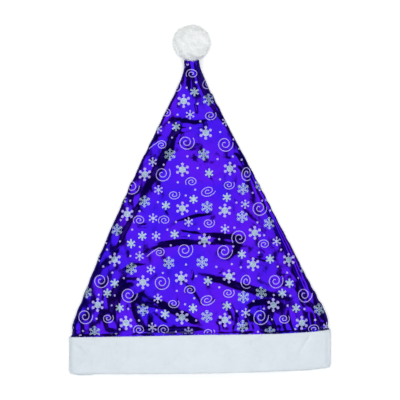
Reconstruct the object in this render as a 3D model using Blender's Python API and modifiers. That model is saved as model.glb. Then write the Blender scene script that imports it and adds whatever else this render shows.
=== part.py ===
"""A soft party hat lying flat on its back: a foil cloth cone, a plush band round its opening, a pompom.

Metres, +Z up. +Y runs from the open hem to the pompom, and +X to the right of the hat seen from above.
The origin is on the surface that the hat lies on, under the middle of its bounding box.
"""

import math
import random

import bmesh
import bpy
import numpy as np
from mathutils import Matrix, Vector

# Band: a plush ring pressed to a flat oval
BAND_WIDTH = 0.290  # flat, half of the head's circumference
BAND_HEIGHT = 0.0445  # from hem to cloth, in the middle
BAND_WALL = 0.0070
BAND_RISE = 0.0360  # over the floor, in the middle
BAND_SIDE = 0.0190  # over the floor, at the fold of each end
HEM_ROUND = 0.0035
LIP_ROUND = 0.0014
GROOVE_DEPTH = 0.0120  # how far the cloth goes into the band

# Crown: the cloth cone
CROWN_LENGTH = 0.297  # from the band to the pompom
NECK_WIDTH = 0.0167  # where the cloth goes into the pompom
TIP_ASIDE = 0.0092  # how far the tip lies to the left of the band's middle
CROWN_RISE = 0.0300  # over the floor, where the cloth is fullest
CROWN_SIDE = 0.0120  # the rounded fold along each edge
CLOTH = 0.0012
TIP_DEPTH = 0.0085  # how far the tip goes into the pompom
FOLD_HEIGHT = 0.0044
FOLD_GENTLE = 0.0360  # width of a fold's long flank
FOLD_STEEP = 0.0105  # width of its short flank
GATHER_HEIGHT = 0.0014
GATHER_COUNT = 22
GATHER_RISE = 0.0090  # from the band to where the gathers are highest
GATHER_FALL = 0.0270  # and from there to where they end
PLEAT_HEIGHT = 0.0007
PLEAT_LENGTH = 0.0300  # up to the pompom
PLEAT_COUNT = 7
HELD_LENGTH = 0.0330  # cloth over the band that still has the band's form
HELD_EDGE = 0.0180  # and whose edges still stand as wide as the band holds them

# Pompom: plush locks on a round core
POMPOM_WIDTH = 0.0435
POMPOM_LENGTH = 0.0405
POMPOM_HEIGHT = 0.0410
POMPOM_PRESS = 0.0008  # how far its weight flattens it on the floor
LOCK_LENGTH = 0.0036  # how far a lock stands out of the core, and nearly as far into it
LOCK_FOOT = 0.0086  # its width in the core
LOCK_END = 0.0058  # its width at its blunt end
LOCK_COUNT = 76
LOCK_SIDES = 5
LOCK_UNEVEN_SHARE = 0.10  # how much the locks differ in length, as a share
LOCK_LEAN_SLOPE = 0.12  # how far they lean, as a slope

# Clearance between two pieces that fit
GAP = 0.0003

# Mesh fineness
AROUND = 56
ROWS = 27
FINE = 60  # points drawn along each stretch of a section before it is divided
TIP_STEPS = 5
HEM_STEPS = 7
LIP_STEPS = 5
WEIGHT_TOP, WEIGHT_SIDE, WEIGHT_FLOOR = 1.0, 2.0, 0.3  # how closely points lie on each stretch
SHARP_ANGLE = 50  # in degrees, for the band's shading
FLOOR_CUT_SPREAD = 1.5  # how much wider the floor's cutter is than the pompom

# The band's two edges: across (share of half its width), hem lift, cloth edge lift (shares of its height)
EDGES = (
    (-1.00, -0.050, -0.090),
    (0.00, 0.000, 0.000),
    (0.60, 0.035, 0.015),
    (0.87, 0.065, 0.055),
    (1.00, 0.125, 0.110),
)

# The cone's sections: along (share of its length), aside (share of TIP_ASIDE), width (0 as at the neck,
# 1 as the band), side (share of CROWN_SIDE), rise (share of CROWN_RISE) and low (share of half the
# pompom's height)
SECTIONS = (
    (0.000, 0.000, 0.9788, 1.06, 1.04, 0.00),
    (0.037, 0.000, 0.9682, 1.03, 1.01, 0.00),
    (0.118, 0.063, 0.8960, 0.96, 0.95, 0.00),
    (0.259, 0.299, 0.7549, 0.84, 0.80, 0.00),
    (0.414, 0.481, 0.5984, 0.76, 0.67, 0.00),
    (0.570, 0.662, 0.4334, 0.69, 0.56, 0.00),
    (0.725, 0.772, 0.2647, 0.66, 0.41, 0.00),
    (0.858, 0.835, 0.1161, 0.70, 0.36, 0.02),
    (0.902, 0.835, 0.0673, 0.76, 0.41, 0.06),
    (0.947, 0.843, 0.0275, 0.84, 0.50, 0.15),
    (0.975, 0.906, 0.0063, 0.92, 0.57, 0.24),
    (1.000, 1.001, 0.0001, 1.00, 0.64, 0.33),
)

# The cloth's folds: start, middle and end of each, as (across, along) shares of the cone's own width and
# length, and size as a share of the fold's height and flanks. The steep flank lies along the line and
# falls to the right of the way it runs.
FOLDS = (
    ((0.60, 0.793), (-0.05, 0.779), (-0.85, 0.802), 0.60),
    ((0.92, 0.790), (0.66, 0.812), (0.36, 0.800), 0.35),
    ((-0.18, 0.732), (-0.42, 0.742), (-0.60, 0.752), 0.50),
    ((-0.28, 0.800), (-0.58, 0.643), (-0.80, 0.460), 1.30),
    ((-0.74, 0.520), (-0.80, 0.400), (-0.86, 0.290), 0.65),
    ((-0.80, 0.320), (-0.84, 0.280), (-0.88, 0.240), 0.40),
    ((-0.42, 0.251), (-0.62, 0.248), (-0.76, 0.222), 0.40),
    ((0.30, 0.437), (-0.02, 0.429), (-0.30, 0.402), 0.42),
    ((0.26, 0.358), (0.00, 0.368), (-0.30, 0.388), 0.32),
    ((0.58, 0.350), (0.30, 0.356), (0.04, 0.368), 0.80),
    ((0.72, 0.298), (-0.05, 0.335), (-0.66, 0.275), 0.85),
    ((0.88, 0.110), (0.36, 0.172), (-0.08, 0.236), 1.05),
    ((0.74, 0.100), (0.46, 0.108), (0.30, 0.050), 0.95),
    ((-0.46, 0.225), (-0.71, 0.125), (-0.54, -0.03), 1.45),
    ((-0.44, 0.170), (-0.52, 0.085), (-0.32, -0.03), 1.10),
    ((0.10, 0.005), (-0.18, 0.078), (-0.52, 0.150), 1.10),
    ((-0.18, 0.008), (-0.29, 0.050), (-0.40, 0.088), 0.50),
    ((0.03, 0.085), (-0.04, 0.150), (-0.18, 0.205), 0.55),
    ((-0.85, 0.085), (-0.76, 0.035), (-0.66, -0.01), 0.60),
    ((0.16, 0.130), (0.22, 0.085), (0.30, 0.010), 0.45),
    ((0.86, 0.120), (0.88, 0.060), (0.90, 0.000), 0.60),
    ((0.97, 0.840), (0.82, 0.920), (0.66, 1.000), 0.80),
)
FOLD_STEPS = 16  # points along a fold's curve
FOLD_TAPER = 2.4  # how fast a fold rises from its ends, over its length


def column(table, which, at):
    """One column of a table, read at a place given by its first column."""
    rows = np.array(table)
    return np.interp(at, rows[:, 0], rows[:, which])


def smooth(share):
    """From 0 to 1 with level ends."""
    share = np.clip(share, 0.0, 1.0)
    return share * share * (3.0 - 2.0 * share)


def overall_length():
    return BAND_HEIGHT * (1.0 - EDGES[0][1]) + CROWN_LENGTH + POMPOM_LENGTH


BAND_TOP = BAND_HEIGHT * (1.0 - EDGES[0][1]) - overall_length() / 2
NECK = BAND_TOP + CROWN_LENGTH
LIP = (BAND_WALL - CLOTH - 2 * GAP) / 2
ALONGS = np.linspace(0, 1, ROWS)


def band_edges(x):
    """The hem's and the cloth edge's place along Y, at a place across the band."""
    across = x / (BAND_WIDTH / 2)
    hem = BAND_TOP - BAND_HEIGHT + BAND_HEIGHT * column(EDGES, 1, across)
    edge = BAND_TOP + BAND_HEIGHT * column(EDGES, 2, across)
    return hem, edge


def flat_loop(left, right, low, side, top):
    """A flattened tube's section as (x, z) points: a level floor, round sides and a domed top."""
    radius = side / 2
    centre = (left + right) / 2
    slope = math.atan(4 * (top - low - side) / (right - left))
    turn = np.linspace(-math.pi / 2, math.pi / 2 - slope, FINE)
    run = np.linspace(1.0, -1.0, 2 * FINE)
    reach = (right - left) / 2 - radius
    shoulder = reach + radius * math.sin(slope)
    brow = low + radius + radius * math.cos(slope)
    dome = brow + (top - brow) * (1.0 - run * run)
    side_x = reach + radius * np.cos(turn)
    side_z = low + radius + radius * np.sin(turn)
    pieces = (
        (centre + reach * np.linspace(0, 1, FINE), np.full(FINE, low), WEIGHT_FLOOR),
        (centre + side_x, side_z, WEIGHT_SIDE),
        (centre + shoulder * run, dome, WEIGHT_TOP),
        (centre - side_x[::-1], side_z[::-1], WEIGHT_SIDE),
        (centre + reach * np.linspace(-1, 0, FINE), np.full(FINE, low), WEIGHT_FLOOR),
    )
    points = np.concatenate([np.stack((x, z), 1) for x, z, _ in pieces])
    weights = np.concatenate([np.full(len(x), weight) for x, _, weight in pieces])
    steps = np.linalg.norm(np.diff(points, axis=0), axis=1) * weights[1:]
    travelled = np.concatenate(([0.0], np.cumsum(steps)))
    stations = np.arange(AROUND) / AROUND * travelled[-1]
    return np.stack([np.interp(stations, travelled, points[:, axis]) for axis in (0, 1)], 1)


def inset(loop, depth):
    """The loop moved inwards by a depth, its flats parallel to the first ones."""
    ahead = np.roll(loop, -1, 0) - loop
    ahead /= np.linalg.norm(ahead, axis=1)[:, None]
    normal = np.stack((-ahead[:, 1], ahead[:, 0]), 1)
    before = np.roll(normal, 1, 0)
    mitre = (normal + before) / (1.0 + (normal * before).sum(1))[:, None]
    return loop + depth * mitre


def band_loop():
    return flat_loop(-BAND_WIDTH / 2, BAND_WIDTH / 2, 0.0, BAND_SIDE, BAND_RISE)


def cone_sides(along):
    """Left and right edge of the cloth at a share of the cone's length."""
    centre = -TIP_ASIDE * column(SECTIONS, 1, along)
    half = (NECK_WIDTH + (BAND_WIDTH - NECK_WIDTH) * column(SECTIONS, 2, along)) / 2
    return centre - half, centre + half


def plan(across, along):
    """The place in X and Y of a point given by shares of the cone's width and length."""
    left, right = cone_sides(along)
    return (left + right) / 2 + across * (right - left) / 2, BAND_TOP + along * CROWN_LENGTH


def fold_line(start, middle, end):
    """Points in X and Y along a curve through three points, given as shares."""
    share = np.linspace(0, 1, FOLD_STEPS)
    first, second, third = (np.array(plan(*point)) for point in (start, middle, end))
    pull = 2 * second - (first + third) / 2
    return (
        np.outer((1 - share) ** 2, first)
        + np.outer(2 * share * (1 - share), pull)
        + np.outer(share**2, third)
    )


def fold_height(x, y):
    """How far the folds lift the cloth at places in X and Y."""
    place = np.stack((x, y), -1)[..., None, :]
    lift = np.zeros(np.shape(x))
    for start, middle, end, depth in FOLDS:
        line = fold_line(start, middle, end)
        run = np.diff(line, axis=0)
        away = place - line[:-1]
        share = np.clip((away * run).sum(-1) / (run * run).sum(-1), 0, 1)
        off = away - share[..., None] * run
        distance = np.linalg.norm(off, axis=-1)
        nearest = distance.argmin(-1)[..., None]
        nearby = np.take_along_axis(distance, nearest, -1)[..., 0]
        turned = run[:, 0] * away[..., 1] - run[:, 1] * away[..., 0]
        right = -np.sign(np.take_along_axis(turned, nearest, -1)[..., 0]) * nearby
        done = (nearest + np.take_along_axis(share, nearest, -1))[..., 0] / (FOLD_STEPS - 1)
        ends = smooth(FOLD_TAPER * done) * smooth(FOLD_TAPER * (1 - done))
        brow = right / depth + FOLD_STEEP / 2
        flank = np.where(brow > 0, brow / FOLD_STEEP, -brow / FOLD_GENTLE)
        lift += FOLD_HEIGHT * depth * ends * (1 - smooth(flank))
    return lift


def gather_height(x, run):
    """Small upright gathers where the cloth leaves the band, at a run in metres from it."""
    fade = smooth(run / GATHER_RISE) * (1 - smooth((run - GATHER_RISE) / GATHER_FALL))
    wave = np.cos(math.pi * GATHER_COUNT * x / BAND_WIDTH)
    return GATHER_HEIGHT * fade * (1 + wave) / 2


def pleat_swell(run_left):
    """How much the pleats swell each point of a ring, at a length in metres left to the pompom."""
    turn = 2 * math.pi * PLEAT_COUNT * np.arange(AROUND) / AROUND
    return 1 + 2 * PLEAT_HEIGHT / CROWN_SIDE * smooth(1 - run_left / PLEAT_LENGTH) * np.cos(turn)


def crown_ring(along):
    """One ring of the cloth's outer face, as (x, y, z) points."""
    left, right = cone_sides(along)
    low = column(SECTIONS, 5, along) * POMPOM_HEIGHT / 2
    side = column(SECTIONS, 3, along) * CROWN_SIDE
    top = column(SECTIONS, 4, along) * CROWN_RISE
    own = flat_loop(left, right, low, side, top)
    held = inset(band_loop(), LIP + GAP)
    run = along * CROWN_LENGTH
    free = smooth(run / HELD_LENGTH)
    free_edge = smooth(run / HELD_EDGE)
    x = held[:, 0] + free_edge * (own[:, 0] - held[:, 0])
    z = held[:, 1] + free * (own[:, 1] - held[:, 1])
    tilt = band_edges(x)[1] - BAND_TOP
    y = BAND_TOP + run + tilt * (1 - along) ** 3
    upper = smooth((z - low - side / 2) / (side / 2))
    z = z + upper * (free * fold_height(x, y) + gather_height(x, run))
    swell = pleat_swell(CROWN_LENGTH - run)
    return np.stack((x.mean() + (x - x.mean()) * swell, y, z.mean() + (z - z.mean()) * swell), 1)


def tip_rings():
    """The rings that close the cone inside the pompom, and the point where they end."""
    neck = crown_ring(1.0)
    middle = neck.mean(0)
    rings = []
    for turn in np.linspace(0, math.pi / 2, TIP_STEPS)[1:-1]:
        ring = middle + (neck - middle) * math.cos(turn)
        ring[:, 1] = NECK + TIP_DEPTH * math.sin(turn)
        rings.append(ring)
    return rings, (middle[0], NECK + TIP_DEPTH, middle[2])


def cone_mesh(name, alongs, hem=()):
    """The cloth's outer face as an open mesh, from its first ring to the closed tip."""
    closing, point = tip_rings()
    rings = [*hem, *(crown_ring(along) for along in alongs), *closing]
    mesh = bpy.data.meshes.new(name)
    built = bmesh.new()
    grid = [[built.verts.new(place) for place in ring] for ring in rings]
    for near, far in zip(grid, grid[1:]):
        for this in range(AROUND):
            after = (this + 1) % AROUND
            built.faces.new((near[this], far[this], far[after], near[after]))
    end = built.verts.new(point)
    for this in range(AROUND):
        built.faces.new((grid[-1][this], end, grid[-1][(this + 1) % AROUND]))
    built.to_mesh(mesh)
    built.free()
    return mesh


def add_object(name, mesh, collection, material=None):
    item = bpy.data.objects.new(name, mesh)
    collection.objects.link(item)
    if material:
        mesh.materials.append(material)
    return item


def add_cutter(name, mesh, collection):
    item = add_object(name, mesh, collection)
    item.hide_render = True
    item.display_type = "WIRE"
    return item


def cut(item, cutter, operation="DIFFERENCE", overlaps=False):
    step = item.modifiers.new(operation.title(), "BOOLEAN")
    step.operation = operation
    step.solver = "EXACT"
    step.use_self = overlaps
    step.object = cutter


def add_crown(collection, material):
    held = inset(band_loop(), LIP + GAP)
    edge = band_edges(held[:, 0])[1]
    hem = [
        np.stack((held[:, 0], edge - GROOVE_DEPTH + GAP, held[:, 1]), 1),
        np.stack((held[:, 0], edge - GROOVE_DEPTH / 2, held[:, 1]), 1),
    ]
    mesh = cone_mesh("crown", ALONGS, hem)
    mesh.shade_smooth()
    crown = add_object("crown", mesh, collection, material)
    wall = crown.modifiers.new("Cloth", "SOLIDIFY")
    wall.thickness = CLOTH
    wall.offset = -1
    wall.use_even_offset = True
    return crown


def band_profile():
    """The band's wall cut across, as (depth in the wall, share of its height, drop from there)."""
    profile = []
    for turn in np.linspace(0, math.pi, HEM_STEPS):
        profile.append((BAND_WALL / 2 * (1 - math.cos(turn)), 0.0, -HEM_ROUND * (1 - math.sin(turn))))
    profile.append((BAND_WALL, 0.5, 0.0))
    for turn in np.linspace(0, math.pi, LIP_STEPS):
        depth = BAND_WALL - LIP / 2 * (1 - math.cos(turn))
        profile.append((depth, 1.0, LIP_ROUND * (1 - math.sin(turn))))
    profile.append((BAND_WALL - LIP, 1.0, GROOVE_DEPTH))
    profile.append((LIP, 1.0, GROOVE_DEPTH))
    for turn in np.linspace(0, math.pi, LIP_STEPS):
        depth = LIP - LIP / 2 * (1 - math.cos(turn))
        profile.append((depth, 1.0, LIP_ROUND * (1 - math.sin(turn))))
    profile.append((0.0, 0.5, 0.0))
    return profile


def add_band(collection, material):
    loops = []
    for depth, share, drop in band_profile():
        loop = inset(band_loop(), depth)
        hem, edge = band_edges(loop[:, 0])
        loops.append(np.stack((loop[:, 0], hem + share * (edge - hem) - drop, loop[:, 1]), 1))
    mesh = bpy.data.meshes.new("brim_band")
    built = bmesh.new()
    grid = [[built.verts.new(place) for place in loop] for loop in loops]
    for near, far in zip(grid, grid[1:] + grid[:1]):
        for this in range(AROUND):
            after = (this + 1) % AROUND
            built.faces.new((near[this], near[after], far[after], far[this]))
    bmesh.ops.recalc_face_normals(built, faces=built.faces)
    built.to_mesh(mesh)
    built.free()
    mesh.shade_smooth()
    mesh.set_sharp_from_angle(angle=math.radians(SHARP_ANGLE))
    return add_object("brim_band", mesh, collection, material)


def spread_directions(count):
    """Directions spread evenly over a ball."""
    golden = math.pi * (3 - math.sqrt(5))
    for index in range(count):
        height = 1 - 2 * (index + 0.5) / count
        flat = math.sqrt(1 - height * height)
        yield Vector((flat * math.cos(golden * index), flat * math.sin(golden * index), height))


def add_pompom(collection, cutters, material):
    centre = Vector((
        sum(cone_sides(1.0)) / 2,
        NECK + POMPOM_LENGTH / 2,
        POMPOM_HEIGHT / 2 - POMPOM_PRESS,
    ))
    stretch = Matrix.Diagonal((1.0, POMPOM_LENGTH / POMPOM_WIDTH, POMPOM_HEIGHT / POMPOM_WIDTH, 1.0))
    core_radius = POMPOM_WIDTH / 2 - LOCK_LENGTH

    core = bpy.data.meshes.new("pompom")
    built = bmesh.new()
    seat = Matrix.Translation(centre) @ stretch
    bmesh.ops.create_icosphere(built, subdivisions=3, radius=core_radius, matrix=seat)
    built.to_mesh(core)
    built.free()
    pompom = add_object("pompom", core, collection, material)

    random.seed(7)
    locks = bpy.data.meshes.new("pompom_locks")
    built = bmesh.new()
    for direction in spread_directions(LOCK_COUNT):
        length = LOCK_LENGTH * (2 - random.uniform(0, LOCK_UNEVEN_SHARE))
        lean = Vector([random.uniform(-LOCK_LEAN_SLOPE, LOCK_LEAN_SLOPE) for _ in range(3)])
        turn = (direction + lean).to_track_quat("Z", "Y").to_matrix().to_4x4()
        foot = direction * (core_radius - LOCK_LENGTH)
        place = seat @ Matrix.Translation(foot) @ turn
        bmesh.ops.create_cone(
            built,
            cap_ends=True,
            segments=LOCK_SIDES,
            radius1=LOCK_FOOT / 2,
            radius2=LOCK_END / 2,
            depth=length,
            matrix=place @ Matrix.Translation((0, 0, length / 2)),
        )
    built.to_mesh(locks)
    built.free()
    cut(pompom, add_cutter("pompom_locks", locks, cutters), "UNION", overlaps=True)

    tip = cone_mesh("tip_pocket", ALONGS[ALONGS > 1 - PLEAT_LENGTH / CROWN_LENGTH])
    pocket = add_cutter("tip_pocket", tip, cutters)
    swell = pocket.modifiers.new("Clearance", "DISPLACE")
    swell.strength = GAP
    swell.mid_level = 0
    cut(pompom, pocket)

    floor = bpy.data.meshes.new("floor_cut")
    built = bmesh.new()
    below = Matrix.Translation((centre.x, centre.y, -POMPOM_WIDTH / 2))
    spread = Matrix.Diagonal((FLOOR_CUT_SPREAD, FLOOR_CUT_SPREAD, 1.0, 1.0))
    bmesh.ops.create_cube(built, size=POMPOM_WIDTH, matrix=below @ spread)
    built.to_mesh(floor)
    built.free()
    cut(pompom, add_cutter("floor_cut", floor, cutters))
    return pompom


def make_material(name, colour, roughness, metallic):
    material = bpy.data.materials.new(name)
    material.use_nodes = True
    shader = material.node_tree.nodes["Principled BSDF"]
    shader.inputs["Base Color"].default_value = (*colour, 1.0)
    shader.inputs["Roughness"].default_value = roughness
    shader.inputs["Metallic"].default_value = metallic
    return material


def make_collection(name):
    collection = bpy.data.collections.new(name)
    bpy.context.scene.collection.children.link(collection)
    return collection


def main():
    for item in list(bpy.data.objects):
        bpy.data.objects.remove(item)
    collection = make_collection("party_hat")
    cutters = make_collection("cutters")
    add_crown(collection, make_material("foil_cloth", (0.075, 0.010, 0.80), 0.35, 0.90))
    add_band(collection, make_material("band_plush", (0.73, 0.80, 0.84), 0.95, 0.0))
    add_pompom(collection, cutters, make_material("pompom_plush", (0.84, 0.87, 0.89), 0.95, 0.0))


main()
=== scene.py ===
"""The party hat's looks: printed foil cloth, plush band and pompom, floor, light and camera."""

import math

import bmesh
import bpy
import numpy as np
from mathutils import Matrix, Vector


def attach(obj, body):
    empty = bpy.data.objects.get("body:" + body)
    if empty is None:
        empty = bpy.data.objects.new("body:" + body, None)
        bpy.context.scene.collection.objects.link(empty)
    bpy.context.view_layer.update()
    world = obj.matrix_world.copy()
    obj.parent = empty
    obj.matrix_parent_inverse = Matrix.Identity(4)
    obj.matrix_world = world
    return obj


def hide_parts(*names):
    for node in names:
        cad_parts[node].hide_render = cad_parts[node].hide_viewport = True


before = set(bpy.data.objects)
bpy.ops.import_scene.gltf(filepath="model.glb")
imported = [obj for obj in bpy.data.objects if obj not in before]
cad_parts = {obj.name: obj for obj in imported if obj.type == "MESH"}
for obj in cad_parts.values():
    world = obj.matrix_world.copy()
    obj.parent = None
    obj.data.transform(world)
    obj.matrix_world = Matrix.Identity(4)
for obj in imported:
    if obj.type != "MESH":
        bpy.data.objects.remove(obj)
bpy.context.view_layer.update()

MM = 0.001

# The solids' own sizes, in metres: the band, the cloth and the pompom
BAND_WIDTH = 0.290
BAND_HEIGHT = 0.0445
BAND_WALL = 0.0070
BAND_RISE = 0.0360
BAND_SIDE = 0.0190
HEM_ROUND = 0.0035
LIP_ROUND = 0.0014
GROOVE_DEPTH = 0.0120
CROWN_LENGTH = 0.297
NECK_WIDTH = 0.0167
TIP_ASIDE = 0.0092
CROWN_RISE = 0.0300
CROWN_SIDE = 0.0120
CLOTH = 0.0012
TIP_DEPTH = 0.0085
HELD_LENGTH = 0.0330
FREED_LENGTH = 0.0080
LOOSE_LENGTH = 0.0120
SECTION_BLUR = 0.012
POMPOM_WIDTH = 0.0435
POMPOM_LENGTH = 0.0405
POMPOM_HEIGHT = 0.0410
POMPOM_PRESS = 0.0008
GAP = 0.0003

# The power with which the tilt of the band's edge fades up the cone, and how far that edge is softened
TILT_POWER = 3
EDGE_BLUR = 0.06
BLUR_SAMPLES = 7

# The band's under layer, which shows beyond the hem near its left end: reach in metres, shares across
UNDER_PEEK = 0.0036
UNDER_FROM = -1.00
UNDER_TO = -0.84
UNDER_BLUR = 0.08

# Folds, gathers and pleats of the cloth, in metres
FOLD_HEIGHT = 0.0044
FOLD_GENTLE = 0.0360
FOLD_STEEP = 0.0105
FOLD_STEPS = 16
GATHER_DEPTH = 0.0019
GATHER_WIDTH = 0.0048
GATHER_RISE = 0.0025
DIP_DEPTH = 0.0022
DIP_RISE = 0.0020
DIP_FALL = 0.0072
DIP_MEAN = 0.7
DIP_SPREAD = 0.5
DIP_LIMITS = (0.2, 1.3)
NECK_FOLD_HEIGHT = 0.0036
NECK_FOLD_GENTLE = 0.0130
NECK_FOLD_STEEP = 0.0060
PLEAT_HEIGHT = 0.0001
PLEAT_LENGTH = 0.0300
PLEAT_COUNT = 7
PLEAT_SWAY = 2.4
CREASE_DEPTH = 0.0016
CREASE_WIDTH = 0.0030
CRUMPLE_HEIGHT = 0.00034
RIPPLE_HEIGHT = 0.00005
TIP_HELD = 0.0060
UNDERSIDE_LIFT = 0.0005
UNDERSIDE_FADE = 8
UNDERSIDE_PLEATS = 0.6

# How folds and creases run out: the pace of the fade and the share of the width left at their ends, the
# rounded share of a fold's steep flank, and the share of its width that a crease of no depth would have
FOLD_END_PACE = 2.4
FOLD_END_WIDTH = 0.35
CREASE_END_PACE = 3
CREASE_END_WIDTH = 0.5
FOLD_ROUNDING = 0.22
SHALLOW_WIDTH = 0.6

# Random creases: lengths in metres, heights in millimetres, flanks as multiples of the height, and turns as
# mean and spread in radians. Those near the band and the neck stand upright.
CREASE_COUNT = 95
CREASE_SEED = 11
CREASE_REACH = 0.92
CREASE_LENGTHS = (0.015, 0.055)
CREASE_SHORTENING = 0.5
CREASE_BOW = 0.35
CREASE_STEPS = 7
CREASE_HEIGHTS = (0.2, 0.7)
CREASE_GENTLE = 9
CREASE_STEEPS = (2.5, 4.0)
UPRIGHT_BELOW = 0.14
UPRIGHT_ABOVE = 0.8
UPRIGHT_TURN = (math.pi / 2, 0.35)
ACROSS_TURN = (-0.1, 0.45)

# Uneven fields: the size of their bumps in metres (on the pompom as a share of its radius) and their seed
DIP_WAVES = (0.030, 4)
CRUMPLE_WAVES = (0.018, 5)
RIPPLE_WAVES = (0.006, 6)
UNDERSIDE_WAVES = (0.020, 7)
PLEAT_WAVES = (0.050, 8)
BAND_LUMP_WAVES = (0.045, 21)
BAND_DENT_WAVES = (0.012, 22)
POMPOM_WAVES = (0.55, 31)
WAVE_COUNT = 9
WAVE_PITCHES = (0.6, 1.5)

# Lumps of the plush pieces, and clearances over the floor, in metres
BAND_LUMP = 0.00045
BAND_DENT = 0.00012
POMPOM_LUMP = 0.0005
CLEARANCE = 0.0003
NAP_CLEARANCE = 0.0001

# Mesh fineness
ROWS = 235
TOP_STATIONS = 252
FLOOR_STATIONS = 84
INNER_STEP = 3
ROUND_STEPS = 24
DOME_STEPS = 60
TIP_STEPS = 7
BAND_STATIONS = 320
BAND_ROWS = 19
BAND_ROUND_STEPS = 40
BAND_DOME_STEPS = 80
HEM_STEPS = 11
LIP_STEPS = 6
POMPOM_SPLITS = 5

# A length and an area too small to count, and the step that keeps a place before the last row
TINY = 1e-12
TINY_AREA = 1e-15
BEFORE_LAST = 1.001

# Shares of the band's height where its inside has rows, and between which its outside has them
INSIDE_SHARES = (0.25, 0.5, 0.75)
OUTSIDE_SHARES = (0.89, 0.14)

# Nap of the plush: the room left for it, and each pile's count of blades, their length, width and lean, and
# its seed
NAP = 0.0012
POMPOM_INSET = 1.4 * NAP
BAND_BLADES = (62000, 0.0013, 0.00034, 0.25, 41)
POMPOM_BLADES = (9000, 0.0018, 0.00036, 1.10, 51)

# How the blades are combed into clumps, how far single ones stray, their shortest and longest, and a
# blade's bend as shares of its rise, lean and width
CLUMP_SIZES = (0.011, 0.011, 0.013)
CLUMP_SLANT = 0.7
CLUMP_STRENGTH = 0.6
BLADE_STRAY = 0.5
BLADE_LENGTHS = (0.7, 1.15)
BEND_RISE = 0.55
BEND_LEAN = 0.35
BEND_WIDTH = 0.75
BLADE_CORNERS = 5

# Where blades grow: above these heights, and on the band also where it faces at least this far up
BAND_NAP_HEIGHT = 0.0008
BAND_NAP_FACING = -0.5
POMPOM_NAP_HEIGHT = 0.0005

# The band's two edges: across (share of half its width), hem lift, cloth edge lift (shares of its height)
HEM_LIFT, EDGE_LIFT = 1, 2
EDGES = (
    (-1.00, -0.050, -0.090),
    (0.00, 0.000, 0.000),
    (0.60, 0.035, 0.015),
    (0.87, 0.065, 0.055),
    (1.00, 0.125, 0.110),
)

# The cone's sections: along (share of its length), aside (share of TIP_ASIDE), width (from the neck's at 0
# to the band's at 1), side (of CROWN_SIDE), rise (of CROWN_RISE) and low (of half the pompom's height)
ASIDE, WIDTH, SIDE, RISE, LOW = 1, 2, 3, 4, 5
SECTIONS = (
    (0.000, 0.000, 0.9788, 1.06, 1.04, 0.00),
    (0.037, 0.000, 0.9682, 1.03, 1.01, 0.00),
    (0.118, 0.063, 0.8960, 0.96, 0.95, 0.00),
    (0.259, 0.299, 0.7549, 0.84, 0.80, 0.00),
    (0.414, 0.481, 0.5984, 0.76, 0.67, 0.00),
    (0.570, 0.662, 0.4334, 0.69, 0.56, 0.00),
    (0.725, 0.772, 0.2647, 0.66, 0.41, 0.00),
    (0.858, 0.835, 0.1161, 0.70, 0.36, 0.02),
    (0.902, 0.835, 0.0673, 0.76, 0.41, 0.06),
    (0.947, 0.843, 0.0275, 0.84, 0.50, 0.15),
    (0.975, 0.906, 0.0063, 0.92, 0.57, 0.24),
    (1.000, 1.001, 0.0001, 1.00, 0.64, 0.33),
)

# The cloth's folds: start, middle and end of each, as (across, along) shares of the cone's own width and
# length, and size as a share of a fold's height and flanks. The steep flank lies along the line and falls to
# the right of the way it runs.
FOLDS = (
    ((0.60, 0.793), (-0.05, 0.779), (-0.85, 0.802), 0.60),
    ((0.92, 0.790), (0.66, 0.812), (0.36, 0.800), 0.35),
    ((-0.18, 0.732), (-0.42, 0.742), (-0.60, 0.752), 0.50),
    ((-0.28, 0.800), (-0.58, 0.643), (-0.80, 0.460), 1.30),
    ((-0.74, 0.520), (-0.80, 0.400), (-0.86, 0.290), 0.65),
    ((-0.80, 0.320), (-0.84, 0.280), (-0.88, 0.240), 0.40),
    ((-0.42, 0.251), (-0.62, 0.248), (-0.76, 0.222), 0.40),
    ((0.30, 0.437), (-0.02, 0.429), (-0.30, 0.402), 0.42),
    ((0.26, 0.358), (0.00, 0.368), (-0.30, 0.388), 0.32),
    ((0.58, 0.350), (0.30, 0.356), (0.04, 0.368), 0.80),
    ((0.72, 0.298), (-0.05, 0.335), (-0.66, 0.275), 0.85),
    ((0.88, 0.110), (0.36, 0.172), (-0.08, 0.236), 1.05),
    ((0.74, 0.100), (0.46, 0.108), (0.30, 0.050), 0.95),
    ((-0.46, 0.225), (-0.71, 0.125), (-0.54, -0.03), 1.45),
    ((-0.44, 0.170), (-0.52, 0.085), (-0.32, -0.03), 1.10),
    ((0.10, 0.005), (-0.18, 0.078), (-0.52, 0.150), 1.10),
    ((-0.18, 0.008), (-0.29, 0.050), (-0.40, 0.088), 0.50),
    ((0.03, 0.085), (-0.04, 0.150), (-0.18, 0.205), 0.55),
    ((-0.85, 0.085), (-0.76, 0.035), (-0.66, -0.01), 0.60),
    ((0.16, 0.130), (0.22, 0.085), (0.30, 0.010), 0.45),
    ((0.86, 0.120), (0.88, 0.060), (0.90, 0.000), 0.60),
    ((0.97, 0.840), (0.82, 0.920), (0.66, 1.000), 0.40),
)

# Narrow creases: start, middle and end as above, and depth as a share of CREASE_DEPTH
CREASES = (
    ((0.955, 0.000), (0.948, 0.330), (0.960, 0.700), 1.50),
    ((0.86, 0.500), (0.88, 0.540), (0.90, 0.580), 0.50),
    ((-0.50, 0.330), (-0.24, 0.346), (-0.02, 0.350), 0.60),
    ((-0.46, 0.735), (0.10, 0.750), (0.80, 0.745), 0.45),
    ((-0.80, 0.770), (-0.40, 0.762), (0.00, 0.765), 0.45),
    ((0.50, 0.282), (0.60, 0.277), (0.74, 0.266), 0.60),
    ((-0.05, 0.240), (-0.055, 0.215), (-0.07, 0.185), 0.60),
    ((-0.10, 0.960), (-0.04, 0.930), (0.00, 0.880), 0.50),
    ((0.10, 0.860), (0.12, 0.830), (0.16, 0.800), 0.50),
)

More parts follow.
